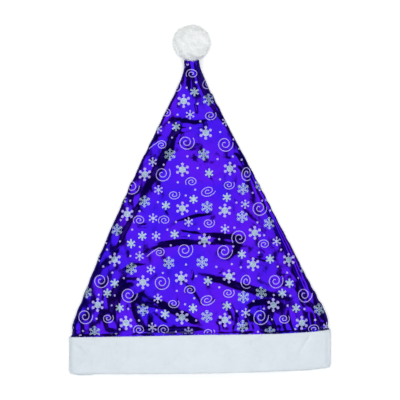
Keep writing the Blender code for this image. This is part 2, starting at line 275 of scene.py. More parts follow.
# Gathers of the cloth at the band: start, middle and end as above, and depth as a share of GATHER_DEPTH
GATHERS = (
    ((-0.930, 0.035), (-0.930, 0.015), (-0.925, -0.010), 0.90),
    ((-0.845, 0.081), (-0.775, 0.055), (-0.700, -0.010), 1.00),
    ((-0.480, 0.020), (-0.500, 0.010), (-0.520, -0.010), 0.50),
    ((-0.220, 0.035), (-0.200, 0.015), (-0.210, -0.010), 0.60),
    ((0.080, 0.118), (0.130, 0.133), (0.190, 0.140), 0.50),
    ((0.100, 0.046), (0.165, 0.036), (0.146, -0.010), 0.80),
    ((0.265, 0.062), (0.293, 0.044), (0.240, -0.010), 1.00),
    ((0.395, 0.075), (0.380, 0.044), (0.430, -0.010), 1.00),
    ((0.560, 0.085), (0.590, 0.037), (0.615, -0.010), 1.10),
    ((0.650, 0.040), (0.675, 0.020), (0.690, -0.010), 0.80),
    ((0.730, 0.092), (0.720, 0.044), (0.745, -0.010), 0.90),
    ((0.885, 0.092), (0.865, 0.044), (0.845, -0.010), 1.20),
    ((0.920, 0.060), (0.945, 0.026), (0.965, -0.010), 0.90),
)

# The neck's fold, which leaves its right side in the dark: start, middle and end as above
NECK_FOLD = ((0.98, 0.740), (0.62, 0.890), (0.30, 1.010))

# Creases of the band's plush: start, middle and end in X and Y, depth and half width, in metres
BAND_CREASES = (
    ((0.1215, -0.1450), (0.1155, -0.1570), (0.1050, -0.1730), 0.0021, 0.0030),
    ((0.1395, -0.1350), (0.1402, -0.1600), (0.1390, -0.1900), 0.0020, 0.0028),
    ((-0.1390, -0.1580), (-0.1330, -0.1630), (-0.1230, -0.1690), 0.0018, 0.0030),
    ((-0.0850, -0.1420), (-0.0800, -0.1600), (-0.0850, -0.1820), 0.0009, 0.0060),
    ((0.0750, -0.1400), (0.0650, -0.1520), (0.0500, -0.1610), 0.0010, 0.0040),
)

# The print's repeat, charted in millimetres from its corner, x to the right and y down the hat
REPEAT = (193, 119)
REPEAT_CORNER = (-85.2, -24.1)
BIG_FLAKES = (
    (145.6, 11.8), (90, 20), (184, 41.4), (143.4, 46.2), (64.7, 61), (116.8, 59.4),
    (22.7, 65.8), (165, 91), (65.8, 104), (112.3, 106.4), (4.5, 110.3),
)
LACE_FLAKES = (
    (162, 1.4), (186, 8.7), (51.2, 44.5), (87.6, 44), (10, 51.2), (152, 77.3),
    (132, 82), (23.8, 96.3), (92.7, 102.5), (131.6, 113.4),
)
SMALL_FLAKES = (
    (72.8, 0), (112.6, 7.6), (37, 15.4), (170.2, 21.3), (18.8, 37.2), (31.4, 52),
    (39.2, 83.4), (134.7, 99.4), (33.6, 114.8),
)
STAR_FLAKES = (
    (21.8, 15.4), (57.4, 13.4), (9.5, 23.8), (131, 35.3), (162.4, 40.6), (93.8, 64.4),
    (184, 67.2), (175.8, 78), (77.6, 93.8), (114.2, 91.6), (191.2, 94.4), (47.6, 100.8),
)
DOTS = (
    (60, 75), (79, 83), (69, 89.5), (38.5, 97), (19, 107.5), (81, 107), (59, 0), (49.5, 8.5), (84, 7.5),
    (11, 8.7), (73, 15), (106, 19), (19, 27.3), (53.5, 25.7), (8.6, 37.3), (70, 46.5), (103, 49),
    (44.5, 55.6), (81, 59), (143, 86.5), (125, 97.5), (154, 95.3), (148.5, 0.5), (123, 6.3), (156, 14.6),
    (121, 27), (150, 33.5), (175, 30.5), (120, 46), (130, 49.5), (171, 49), (181.5, 55.7), (149.5, 61.4),
    (164, 106), (106, 71.4), (7.5, 95.5), (190.3, 117), (189.8, 21.4), (1.4, 61.5), (166, 80), (185, 80.7),
    (181.5, 91.5),
)
# Spirals of each kind: radius, turns, height over width and tilt (degrees), then x, y and where the outer end
# points (degrees). The last runs on in a tail, given by its middle and end from its centre, y up the hat.
TAIL = ((-7.8, 0.6), (-14.3, -4.4))
SPIRALS = (
    ((9.2, 1.9, 1.00, 0), (
        (128.5, 17.6, 215), (68.6, 30.8, 35), (111.2, 32.2, 10), (43, 65.8, 35), (168, 64.4, 35),
        (7.8, 79.8, 10), (150.6, 103.6, 10),
    )),
    ((6.8, 1.8, 0.82, 0), (
        (94.6, 1, 35), (156, 24.4, 215), (74.8, 74.2, 215), (115.6, 77.6, 35), (56, 88.8, 35),
        (177.2, 105.6, 35), (18.8, 117.3, 215), (46.2, 117, 215),
    )),
    ((8.8, 1.9, 0.78, 80), ((135.8, 64.4, 230),)),
    ((9.0, 1.9, 0.68, 22), ((93, 84.6, 330),)),
    ((6.0, 1.7, 0.80, 0, TAIL), ((41.2, 33.3, 100),)),
)
SPIRAL_HEART = 0.13
SPIRAL_STEPS = 22
LINE_WIDTH = 0.82

# The print's two materials by their index, and the motifs' sizes in millimetres, in the order in which
# ball_flake, star_flake and lace_flake take them
WHITE, FROST = 0, 1
ARM_TURNS = range(30, 390, 60)
BIG_FLAKE = (3.6, 18, 2, 3.5, 4.8, 1.3, 6.0, 1.6, 12)
SMALL_FLAKE = (1.8, 12, 1, 1.7, 3.2, 0.95, 4.1, 1.1, 10)
STAR_FLAKE = (2.3, 12, 2.1, 4.9, 1.9)
LACE_FLAKE = ((0.3, 6.7, 0.75), (2.9, 0.6), ((3.6, 2.4), (5.2, 1.7)), 55, 0.65)
DOT_RADIUS = 1.2
DOT_SIDES = 10

# Where the print goes: the repeats, the margin and each side's shift in millimetres, the pull on its upper
# part and where that sets in, its lift off the cloth, and how far up and across it reaches
REPEATS_ACROSS = range(-2, 3)
REPEATS_DOWN = range(-3, 3)
PRINT_MARGIN = 10
FRONT_SHIFT = (0, 0)
BACK_SHIFT = (71, 37)
PRINT_PULL = (1.5 * MM, -1.1 * MM)
PULL_FROM = 0.42
PULL_OVER = 0.2
PRINT_LIFT = 0.16 * MM
PRINT_TOP = 0.995
PRINT_SIDE = 0.985

# Materials. A noise is its scale, detail and roughness. A tint is a noise and stops, each a place on it and a
# colour; a gloss is a noise and two roughnesses; a grain is a noise, a strength and a depth in metres.
FOIL_TINT = ((26,), ((0.36, (0.019, 0.001, 0.36)), (0.64, (0.040, 0.001, 0.37))))
FOIL_GLOSS = ((60,), (0.16, 0.26))
FOIL_GRAIN = ((420, 4, 0.6), 0.25, 0.0004)
FOIL_METAL = 0.92
BACK_TINT = ((500,), ((0.3, (0.012, 0.006, 0.10)), (0.7, (0.02, 0.01, 0.15))))
BACK_GRAIN = ((900,), 0.4, 0.0003)
BACK_ROUGHNESS = 0.75
WHITE_TINT = ((300,), ((0.3, (0.40, 0.33, 0.80)), (0.7, (0.50, 0.43, 0.92))))
WHITE_ROUGHNESS = 0.5
FROST_TINT = ((1100, 2), ((0.38, (0.20, 0.31, 0.47)), (0.62, (0.48, 0.60, 0.74))))
FROST_ROUGHNESS = 0.35
FROST_METAL = 0.1
PLUSH_NOISE = (55,)
PLUSH_STOPS = (0.3, 0.7)
PLUSH_DARKEST = 0.96
PLUSH_ROUGHNESS = 0.95
PLUSH_SPECULAR = 0.15
PLUSH_SHEEN = 0.15
BAND_SHADE = (0.80, 0.85, 0.89)
BAND_NAP_SHADE = (0.81, 0.855, 0.89)
BAND_NAP_THROUGH = 0.5
POMPOM_SHADE = (0.985, 0.99, 0.985)
POMPOM_NAP_THROUGH = 0.6
FLOOR_SHADE = (0.93, 0.93, 0.93, 1.0)
FLOOR_ROUGHNESS = 0.9
FLOOR_GLOW = 0.30
FLOOR_REFLECTED = (0.30, 0.30, 0.30, 1.0)

# The studio: its walls by height, their strength, and the ground that the camera sees
STUDIO_WALLS = (
    (0.0, (0.3, 0.3, 0.3)), (0.13, (0.3, 0.3, 0.3)), (0.20, (0.003, 0.009, 0.01)),
    (0.62, (0.006, 0.014, 0.02)), (0.80, (0.10, 0.12, 0.14)), (0.90, (0.35, 0.35, 0.35)),
)
STUDIO_STRENGTH = 2.0
STUDIO_GROUND = (0.95, 0.95, 0.96, 1)
FLOOR_SIZE = 4.0

# Light and camera
LIGHT_HEIGHT = 1.5
LIGHT_SIZE = 2.0
LIGHT_WATTS = 23.5
CAMERA_HEIGHT = 2.0
VIEW_WIDTH = 0.4394
SENSOR = 36.0
VIEW_LEVEL = 0.012

HEM_DEPTH = BAND_HEIGHT * (1.0 - EDGES[0][HEM_LIFT])
BAND_TOP = HEM_DEPTH - (HEM_DEPTH + CROWN_LENGTH + POMPOM_LENGTH) / 2
NECK = BAND_TOP + CROWN_LENGTH
LIP = (BAND_WALL - CLOTH - 2 * GAP) / 2
NECK_X = -TIP_ASIDE


# Shared shapes

def smooth(share):
    """From 0 to 1 with level ends."""
    share = np.clip(share, 0.0, 1.0)
    return share * share * (3.0 - 2.0 * share)


def column(table, which, at, blur):
    """One column of a table, read along its first column and softened between its rows."""
    rows = np.array(table)
    places = [np.asarray(at) + offset for offset in np.linspace(-blur, blur, BLUR_SAMPLES)]
    return sum(np.interp(place, rows[:, 0], rows[:, which]) for place in places) / len(places)


def ramped(share, rounding):
    """From 0 to 1 with an even slope between rounded ends."""
    share = np.clip(share, 0.0, 1.0)
    rise = share**2 / (2 * rounding)
    middle = share - rounding / 2
    end = 1 - rounding - (1 - share) ** 2 / (2 * rounding)
    return np.where(share < rounding, rise, np.where(share < 1 - rounding, middle, end)) / (1 - rounding)


def waves(x, y, size, seed):
    """A smooth uneven field between about -1 and 1, with bumps of about the given size."""
    rng = np.random.default_rng(seed)
    turns = rng.uniform(0, 2 * math.pi, WAVE_COUNT)
    pitches = 2 * math.pi / size * rng.uniform(*WAVE_PITCHES, WAVE_COUNT)
    phases = rng.uniform(0, 2 * math.pi, WAVE_COUNT)
    total = 0.0
    for turn, pitch, phase in zip(turns, pitches, phases):
        total = total + np.sin(pitch * (x * math.cos(turn) + y * math.sin(turn)) + phase)
    return total / math.sqrt(WAVE_COUNT)


def section(which, along):
    """One of the cone's sizes, as a share, along its length."""
    return column(SECTIONS, which, along, SECTION_BLUR)


def cone_sides(along):
    """The cone's left and right edge in X."""
    centre = -TIP_ASIDE * section(ASIDE, along)
    half = (NECK_WIDTH + (BAND_WIDTH - NECK_WIDTH) * section(WIDTH, along)) / 2
    return centre - half, centre + half


def edge_tilt(x):
    """How far the band's upper edge lies above BAND_TOP."""
    return BAND_HEIGHT * column(EDGES, EDGE_LIFT, x / (BAND_WIDTH / 2), EDGE_BLUR)


def plan(across, along):
    """The place in X and Y of a point given by shares of the cone's width and length."""
    left, right = cone_sides(along)
    return (left + right) / 2 + across * (right - left) / 2, BAND_TOP + along * CROWN_LENGTH


def bent_line(start, middle, end, steps=FOLD_STEPS):
    """Points along a curve through three places in X and Y."""
    share = np.linspace(0, 1, steps)
    first, second, third = (np.array(point) for point in (start, middle, end))
    pull = 2 * second - (first + third) / 2
    return (
        np.outer((1 - share) ** 2, first)
        + np.outer(2 * share * (1 - share), pull)
        + np.outer(share**2, third)
    )


def charted_line(start, middle, end):
    """The curve of a fold or crease that is charted in shares of the cone's size."""
    return bent_line(plan(*start), plan(*middle), plan(*end))


def beside(x, y, line, reach):
    """Which points lie near a line, how far to its right they are, and how far along it, from 0 to 1."""
    near = (
        (x > line[:, 0].min() - reach) & (x < line[:, 0].max() + reach)
        & (y > line[:, 1].min() - reach) & (y < line[:, 1].max() + reach)
    )
    place = np.stack((x[near], y[near]), -1)[:, None, :]
    run = np.diff(line, axis=0)
    away = place - line[:-1]
    share = np.clip((away * run).sum(-1) / (run * run).sum(-1), 0, 1)
    distance = np.linalg.norm(away - share[..., None] * run, axis=-1)
    nearest = distance.argmin(-1)
    row = np.arange(len(nearest))
    turned = run[nearest, 0] * away[row, nearest, 1] - run[nearest, 1] * away[row, nearest, 0]
    done = (nearest + share[row, nearest]) / (len(line) - 1)
    return near, -np.sign(turned) * distance[row, nearest], done


def step_height(x, y, line, height, gentle, steep):
    """The lift of one fold: a long flank up to its brow and a steep one down, centred on the line."""
    lift = np.zeros(x.shape)
    near, right, done = beside(x, y, line, gentle + steep)
    ends = smooth(FOLD_END_PACE * done) * smooth(FOLD_END_PACE * (1 - done))
    narrow = FOLD_END_WIDTH + (1 - FOLD_END_WIDTH) * ends
    brow = right / narrow + steep / 2
    drop = np.where(brow > 0, ramped(brow / steep, FOLD_ROUNDING), smooth(-brow / gentle))
    lift[near] = height * ends * (1 - drop)
    return lift


def valley_height(x, y, line, depth, width):
    """A narrow crease along a line, as a negative lift."""
    lift = np.zeros(x.shape)
    near, right, done = beside(x, y, line, width)
    ends = smooth(CREASE_END_PACE * done) * smooth(CREASE_END_PACE * (1 - done))
    narrow = CREASE_END_WIDTH + (1 - CREASE_END_WIDTH) * ends
    lift[near] = -depth * ends * (1 - smooth(np.abs(right) / (width * narrow)))
    return lift


def fold_height(x, y):
    lift = np.zeros(x.shape)
    for *places, size in FOLDS:
        sizes = (FOLD_HEIGHT * size, FOLD_GENTLE * size, FOLD_STEEP * size)
        lift += step_height(x, y, charted_line(*places), *sizes)
    return lift


def crease_height(x, y):
    """The charted creases, and short random ones."""
    lift = np.zeros(x.shape)
    for *places, depth in CREASES:
        width = CREASE_WIDTH * (SHALLOW_WIDTH + (1 - SHALLOW_WIDTH) * depth)
        lift += valley_height(x, y, charted_line(*places), depth * CREASE_DEPTH, width)
    rng = np.random.default_rng(CREASE_SEED)
    for _ in range(CREASE_COUNT):
        along = 1 - math.sqrt(rng.uniform(0.0, 1.0))
        middle = np.array(plan(rng.uniform(-CREASE_REACH, CREASE_REACH), along))
        upright = along < UPRIGHT_BELOW or along > UPRIGHT_ABOVE
        turn = rng.normal(*(UPRIGHT_TURN if upright else ACROSS_TURN))
        length = rng.uniform(*CREASE_LENGTHS) * (1 - CREASE_SHORTENING * along)
        step = np.array([math.cos(turn), math.sin(turn)]) * length / 2
        bow = np.array([-step[1], step[0]]) * rng.uniform(-CREASE_BOW, CREASE_BOW)
        line = bent_line(middle - step, middle + bow, middle + step, CREASE_STEPS)
        height = rng.uniform(*CREASE_HEIGHTS) * MM
        steep = height * rng.uniform(*CREASE_STEEPS)
        lift += step_height(x, y, line, height, height * CREASE_GENTLE, steep)
    return lift


def gather_height(x, y, run):
    """The gathers at the band, and the dip of the cloth where it goes into the band."""
    lift = np.zeros(x.shape)
    for *places, depth in GATHERS:
        lift += valley_height(x, y, charted_line(*places), depth * GATHER_DEPTH, GATHER_WIDTH)
    dip = DIP_DEPTH * np.clip(DIP_MEAN + DIP_SPREAD * waves(x, 0 * x, *DIP_WAVES), *DIP_LIMITS)
    fade = smooth(run / DIP_RISE) * (1 - smooth((run - DIP_RISE) / DIP_FALL))
    return smooth(run / GATHER_RISE) * lift - dip * fade


def neck_height(x, y):
    line = charted_line(*NECK_FOLD)
    return step_height(x, y, line, NECK_FOLD_HEIGHT, NECK_FOLD_GENTLE, NECK_FOLD_STEEP)


# Crown

def section_sizes(along):
    """Left, right, low, side and top of the cloth's section, which the band holds at its start."""
    left, right = cone_sides(along)
    low = section(LOW, along) * POMPOM_HEIGHT / 2
    side = section(SIDE, along) * CROWN_SIDE
    top = section(RISE, along) * CROWN_RISE
    depth = LIP + GAP
    free = smooth(along * CROWN_LENGTH / HELD_LENGTH)
    held = (depth, BAND_SIDE - 2 * depth, BAND_RISE - depth)
    return [left, right, *(start + free * (own - start) for start, own in zip(held, (low, side, top)))]


def half_section(along, upper, shares):
    """Half of a section from its middle to its side, as X and Z at shares of its length, and that length."""
    left, right, low, side, top = section_sizes(along)
    radius = side / 2
    reach = (right - left) / 2 - radius
    if upper:
        slope = math.atan(2 * max(top - low - side, 0) / ((right - left) / 2))
        turn = np.linspace(math.pi / 2 - slope, 0, ROUND_STEPS)
        run = np.linspace(0, 1, DOME_STEPS)
        brow = low + radius + radius * math.cos(slope)
        lead_x = (reach + radius * math.sin(slope)) * run
        lead_z = brow + (top - brow) * (1 - run * run)
    else:
        turn = np.linspace(-math.pi / 2, 0, ROUND_STEPS)
        lead_x, lead_z = [0.0], [low]
    x = np.concatenate((lead_x, reach + radius * np.cos(turn)))
    z = np.concatenate((lead_z, low + radius + radius * np.sin(turn)))
    travelled = np.concatenate(([0.0], np.cumsum(np.hypot(np.diff(x), np.diff(z)))))
    length = travelled[-1]
    return np.interp(shares * length, travelled, x), np.interp(shares * length, travelled, z), length


def half_sheet(alongs, stations, upper):
    """The upper or lower half of the cone as a grid of points, with each row's half length."""
    shares = np.linspace(-1, 1, stations)
    grid = np.zeros((len(alongs), stations, 3))
    lengths = np.zeros(len(alongs))
    for row, along in enumerate(alongs):
        x, z, lengths[row] = half_section(along, upper, np.abs(shares))
        left, right = section_sizes(along)[:2]
        x = (left + right) / 2 + np.sign(shares) * x
        y = BAND_TOP + along * CROWN_LENGTH + edge_tilt(x) * (1 - along) ** TILT_POWER
        grid[row] = np.stack((x, y, z), 1)
    return grid, lengths


def grid_normals(grid, up):
    """The outward normals of an upper or a lower half."""
    across = np.gradient(grid, axis=1)
    along = np.gradient(grid, axis=0)
    normal = np.cross(across, along)
    normal /= np.linalg.norm(normal, axis=-1)[..., None] + TINY
    return normal if up else -normal


def wrinkled(grid, alongs, upper):
    """The grid with its folds, creases, gathers and pleats."""
    x, y = grid[..., 0], grid[..., 1]
    normal = grid_normals(grid, upper)
    run = (alongs * CROWN_LENGTH)[:, None]
    freed = smooth(run / FREED_LENGTH)
    loose = smooth(run / LOOSE_LENGTH) * (1 - smooth((run - CROWN_LENGTH + TIP_HELD) / TIP_HELD))
    share = np.linspace(-1, 1, grid.shape[1])[None, :]
    pleats = np.cos(math.pi * PLEAT_COUNT * share + PLEAT_SWAY * waves(x, y, *PLEAT_WAVES))
    pleats = PLEAT_HEIGHT * smooth(1 - (CROWN_LENGTH - run) / PLEAT_LENGTH) * pleats
    if upper:
        lift = freed * fold_height(x, y) + gather_height(x, y, run)
        lift += loose * (crease_height(x, y) + neck_height(x, y))
        crumples = CRUMPLE_HEIGHT * waves(x, y, *CRUMPLE_WAVES)
        crumples += RIPPLE_HEIGHT * waves(x, y, *RIPPLE_WAVES)
        lift += loose * crumples + pleats
    else:
        rim = smooth((1 - np.abs(share)) * UNDERSIDE_FADE)
        lift = -loose * UNDERSIDE_LIFT * (1 + waves(x, y, *UNDERSIDE_WAVES)) * rim
        lift += pleats * UNDERSIDE_PLEATS
    grid = grid + normal * lift[..., None]
    grid[..., 2] = np.maximum(grid[..., 2], 0.0)
    return grid


def joined_rings(upper, lower):
    """Closed rings from an upper and a lower half that share their two side points."""
    return np.concatenate((upper, lower[:, -2:0:-1]), axis=1)


def add_grid(built, rings):
    """The rings' places as rings of vertices."""
    return [[built.verts.new(place) for place in ring] for ring in rings]


def add_face(built, corners, outward, material):
    face = built.faces.new(corners if outward else corners[::-1])
    face.material_index = material
    face.smooth = True


def skin(built, grid, outward, material=0):
    """Faces between one closed ring of vertices and the next."""
    for near, far in zip(grid, grid[1:]):
        for this in range(len(near)):
            after = (this + 1) % len(near)
            add_face(built, (near[this], near[after], far[after], far[this]), outward, material)


def close_tip(built, ring, outward, depth, material=0):
    """Rings that close the cone in a rounded end."""
    places = np.array([vertex.co for vertex in ring])
    middle = places.mean(0)
    grid = [ring]
    for turn in np.linspace(0, math.pi / 2, TIP_STEPS)[1:-1]:
        closing = middle + (places - middle) * math.cos(turn)
        closing[:, 1] = places[:, 1] + depth * math.sin(turn)
        grid += add_grid(built, [closing])
    skin(built, grid, outward, material)
    end = built.verts.new(middle + np.array([0, depth, 0]))
    last = grid[-1]
    for this in range(len(last)):
        add_face(built, (last[this], last[(this + 1) % len(last)], end), outward, material)


def add_item(name, data, materials=()):
    """A mesh, a light or a camera as an object in the scene."""
    for material in materials:
        data.materials.append(material)
    item = bpy.data.objects.new(name, data)
    bpy.context.scene.collection.objects.link(item)
    return item


def finish_mesh(built, name, materials):
    """A piece from a mesh that was built face by face."""
    mesh = bpy.data.meshes.new(name)
    built.to_mesh(mesh)
    built.free()
    return add_item(name, mesh, materials)


def add_faces(name, places, faces, materials):
    """A smooth piece from all its places and faces at once."""
    mesh = bpy.data.meshes.new(name)
    mesh.from_pydata(places, [], faces)
    mesh.shade_smooth()
    return add_item(name, mesh, materials)


def hem_rows(grid, drop):
    """Two rows under the first one, down into the band's groove."""
    rows = [grid[:1] - np.array([0, drop * share, 0]) for share in (1.0, 0.5)]
    return np.concatenate((*rows, grid), axis=0)


def add_crown(cloth, back):
    """The cloth cone, and its upper and lower half as the print needs them."""
    alongs = np.linspace(0, 1, ROWS)
    upper, upper_lengths = half_sheet(alongs, TOP_STATIONS + 1, True)
    lower, lower_lengths = half_sheet(alongs, FLOOR_STATIONS + 1, False)
    upper = wrinkled(upper, alongs, True)
    lower = wrinkled(lower, alongs, False)
    lower[:, 0], lower[:, -1] = upper[:, 0], upper[:, -1]
    drop = GROOVE_DEPTH - GAP
    outer = joined_rings(hem_rows(upper, drop), hem_rows(lower, drop))

    inner_upper, inner_lower = (
        (grid - grid_normals(grid, up) * CLOTH)[::INNER_STEP, ::INNER_STEP]
        for grid, up in ((upper, True), (lower, False))
    )
    inner = joined_rings(hem_rows(inner_upper, drop), hem_rows(inner_lower, drop))

    built = bmesh.new()
    outer_grid = add_grid(built, outer)
    inner_grid = add_grid(built, inner)
    skin(built, outer_grid, True)
    skin(built, inner_grid, False, 1)
    close_tip(built, outer_grid[-1], True, TIP_DEPTH)
    close_tip(built, inner_grid[-1], False, TIP_DEPTH - CLOTH, 1)
    first, second = outer_grid[0], inner_grid[0]
    for this in range(len(second)):
        after = (this + 1) % len(second)
        span = [first[(this * INNER_STEP + step) % len(first)] for step in range(INNER_STEP + 1)]
        built.faces.new((second[this], second[after], *reversed(span)))
    crown = finish_mesh(built, "crown_cloth", (cloth, back))
    return crown, (alongs, upper, upper_lengths), (alongs, lower, lower_lengths)


# Print

def disc(x, y, radius, sides, rings=1):
    """A round shape as points and faces."""
    points = [(x, y)]
    faces = []
    for ring in range(1, rings + 1):
        for side in range(sides):
            turn = 2 * math.pi * side / sides
            reach = radius * ring / rings
            points.append((x + reach * math.cos(turn), y + reach * math.sin(turn)))
    for side in range(sides):
        after = (side + 1) % sides
        faces.append((0, 1 + side, 1 + after))
        for ring in range(1, rings):
            near, far = 1 + (ring - 1) * sides, 1 + ring * sides
            faces.append((near + side, far + side, far + after, near + after))
    return points, faces


def stroke(line, width):
    """A strip of even width along a line of points."""
    line = np.array(line, float)
    ahead = np.gradient(line, axis=0)
    ahead /= np.linalg.norm(ahead, axis=1)[:, None]
    side = np.stack((-ahead[:, 1], ahead[:, 0]), 1) * width / 2
    count = len(line)
    points = [tuple(point) for point in np.concatenate((line - side, line + side))]
    return points, [(step, step + 1, count + step + 1, count + step) for step in range(count - 1)]


def bar(start, end, width, steps):
    return stroke(np.linspace(start, end, steps + 1), width)


def polar(radius, degrees):
    return radius * math.cos(math.radians(degrees)), radius * math.sin(math.radians(degrees))


def ball_flake(heart, sides, rings, root, tip, width, ball_place, ball, ball_sides):
    """A round heart with six arms that end in balls."""
    shapes = [(FROST, disc(0, 0, heart, sides, rings))]
    for turn in ARM_TURNS:
        shapes.append((WHITE, bar(polar(root, turn), polar(tip, turn), width, 1)))
        shapes.append((WHITE, disc(*polar(ball_place, turn), ball, ball_sides)))
    return shapes


def star_flake(heart, sides, root, tip, width):
    """A round heart with six broad arms."""
    shapes = [(FROST, disc(0, 0, heart, sides))]
    for turn in ARM_TURNS:
        shapes.append((FROST, bar(polar(root, turn), polar(tip, turn), width, 2)))
    return shapes


def lace_flake(arm, ring, twigs, twig_turn, twig_width):
    """Six thin arms with twigs, joined by a ring of six bars."""
    shapes = []
    for turn in ARM_TURNS:
        shapes.append((FROST, bar(polar(arm[0], turn), polar(arm[1], turn), arm[2], 4)))
        shapes.append((FROST, bar(polar(ring[0], turn), polar(ring[0], turn + ARM_TURNS.step), ring[1], 2)))
        for lean in (-1, 1):
            for root, reach in twigs:
                start = polar(root, turn)
                tip = polar(reach, turn + twig_turn * lean)
                shapes.append((FROST, bar(start, (start[0] + tip[0], start[1] + tip[1]), twig_width, 1)))
    return shapes


def spiral(end, radius, turns, flat, tilt, tail=()):
    """A spiral line that starts at its heart, with its tail if it has one."""
    share = np.linspace(0, 1, int(SPIRAL_STEPS * turns))
    turn = math.radians(end) - 2 * math.pi * turns * (1 - share)
    reach = radius * (SPIRAL_HEART + (1 - SPIRAL_HEART) * share)
    x, y = reach * np.cos(turn), reach * np.sin(turn) * flat
    lean = math.radians(tilt)
    line = np.stack((x * math.cos(lean) - y * math.sin(lean), x * math.sin(lean) + y * math.cos(lean)), 1)
    if tail:
        line = np.concatenate((line, bent_line(line[-1], *tail)[1:]))
    return [(WHITE, stroke(line, LINE_WIDTH))]


def motifs():
    """Every motif of one repeat, as its place and its shapes."""
    for places, shapes in (
        (BIG_FLAKES, ball_flake(*BIG_FLAKE)),
        (LACE_FLAKES, lace_flake(*LACE_FLAKE)),
        (SMALL_FLAKES, ball_flake(*SMALL_FLAKE)),
        (STAR_FLAKES, star_flake(*STAR_FLAKE)),
        (DOTS, [(WHITE, disc(0, 0, DOT_RADIUS, DOT_SIDES))]),
    ):
        for x, y in places:
            yield x, y, shapes
    for form, places in SPIRALS:
        for x, y, end in places:
            yield x, y, spiral(end, *form)


def on_cloth(points, sheet, normals, lift):
    """Places in the cloth's own X and Y, laid on a half of the cone, and which of them are on it."""
    alongs, grid, lengths = sheet
    x, y = points[:, 0], points[:, 1]
    first = (y - BAND_TOP) / CROWN_LENGTH
    pull = smooth((first - PULL_FROM) / PULL_OVER)
    x, y = x + PRINT_PULL[0] * pull, y + PRINT_PULL[1] * pull
    along = (y - BAND_TOP - edge_tilt(x) * np.clip(1 - first, 0, 1) ** TILT_POWER) / CROWN_LENGTH
    left, right = cone_sides(along)
    share = (x - (left + right) / 2) / np.interp(along, alongs, lengths)
    inside = (along > 0.0) & (along < PRINT_TOP) & (np.abs(share) < PRINT_SIDE)
    row = np.clip(along * (len(alongs) - 1), 0, len(alongs) - BEFORE_LAST)
    station = np.clip((share + 1) / 2 * (grid.shape[1] - 1), 0, grid.shape[1] - BEFORE_LAST)
    low_row, low_station = row.astype(int), station.astype(int)
    down, over = (row - low_row)[:, None], (station - low_station)[:, None]

    def read(field):
        near = field[low_row, low_station] * (1 - over) + field[low_row, low_station + 1] * over
        far = field[low_row + 1, low_station] * (1 - over) + field[low_row + 1, low_station + 1] * over
        return near * (1 - down) + far * down

    return read(grid) + read(normals) * lift, inside


def add_print(sheet, upper, shift, white, frost, name):
    """The print on one side of the cloth, as thin film that follows it."""
    normals = grid_normals(sheet[1], upper)
    side = 1 if upper else -1
    widest = BAND_WIDTH / 2 / MM + PRINT_MARGIN
    lowest, highest = BAND_TOP / MM - PRINT_MARGIN, NECK / MM + PRINT_MARGIN
    points, faces, kinds = [], [], []
    for x, y, shapes in motifs():
        for across in REPEATS_ACROSS:
            for down in REPEATS_DOWN:
                place_x = REPEAT_CORNER[0] + shift[0] + x + across * REPEAT[0]
                place_y = REPEAT_CORNER[1] + shift[1] - y - down * REPEAT[1]
                if abs(place_x) > widest or not lowest < place_y < highest:
                    continue
                for kind, (outline, sides) in shapes:
                    start = len(points)
                    points += [(place_x + px, place_y + py) for px, py in outline]
                    faces += [tuple(start + corner for corner in face) for face in sides]
                    kinds += [kind] * len(sides)
    flat = np.array(points) * MM
    flat[:, 0] *= side
    places, inside = on_cloth(flat, sheet, normals, PRINT_LIFT)
    kept = [(face, kind) for face, kind in zip(faces, kinds) if inside[list(face)].all()]
    used = sorted({corner for face, _ in kept for corner in face})
    renumbered = {corner: index for index, corner in enumerate(used)}
    outlines = [[renumbered[corner] for corner in face] for face, _ in kept]
    piece = add_faces(name, places[used].tolist(), outlines, (white, frost))
    piece.data.polygons.foreach_set("material_index", [kind for _, kind in kept])
    return piece


# Band

def inset_loop(loop, depth):
    """A closed loop moved inward by a depth."""
    ahead = np.roll(loop, -1, 0) - loop
    ahead /= np.linalg.norm(ahead, axis=1)[:, None]
    normal = np.stack((-ahead[:, 1], ahead[:, 0]), 1)
    before = np.roll(normal, 1, 0)
    mitre = (normal + before) / (1.0 + (normal * before).sum(1))[:, None]
    return loop + depth * mitre


def band_loop():
    """The band's outer section as (x, z) points from the middle of the floor round by the right."""
    radius = BAND_SIDE / 2
    slope = math.atan(2 * (BAND_RISE - BAND_SIDE) / (BAND_WIDTH / 2))
    turn = np.linspace(-math.pi / 2, math.pi / 2 - slope, BAND_ROUND_STEPS)
    reach = BAND_WIDTH / 2 - radius
    shoulder = reach + radius * math.sin(slope)
    brow = radius + radius * math.cos(slope)
    run = np.linspace(1, 0, BAND_DOME_STEPS)
    x = np.concatenate(([0.0], reach + radius * np.cos(turn), shoulder * run))
    z = np.concatenate(([0.0], radius + radius * np.sin(turn), brow + (BAND_RISE - brow) * (1 - run * run)))
    x = np.concatenate((x, -x[-2:0:-1]))
    z = np.concatenate((z, z[-2:0:-1]))
    ring = np.stack((np.append(x, x[0]), np.append(z, z[0])), 1)
    travelled = np.concatenate(([0.0], np.cumsum(np.linalg.norm(np.diff(ring, axis=0), axis=1))))
    places = np.arange(BAND_STATIONS) / BAND_STATIONS * travelled[-1]
    return np.stack([np.interp(places, travelled, ring[:, axis]) for axis in (0, 1)], 1)


def rounded_rim(start, thick, share, drop, rounding, steps):
    """The rows of a profile that lead over a rounded rim."""
    return [
        (start + thick / 2 * (1 - math.cos(turn)), share, drop + rounding * (1 - math.sin(turn)))
        for turn in np.linspace(0, math.pi, steps)
    ]


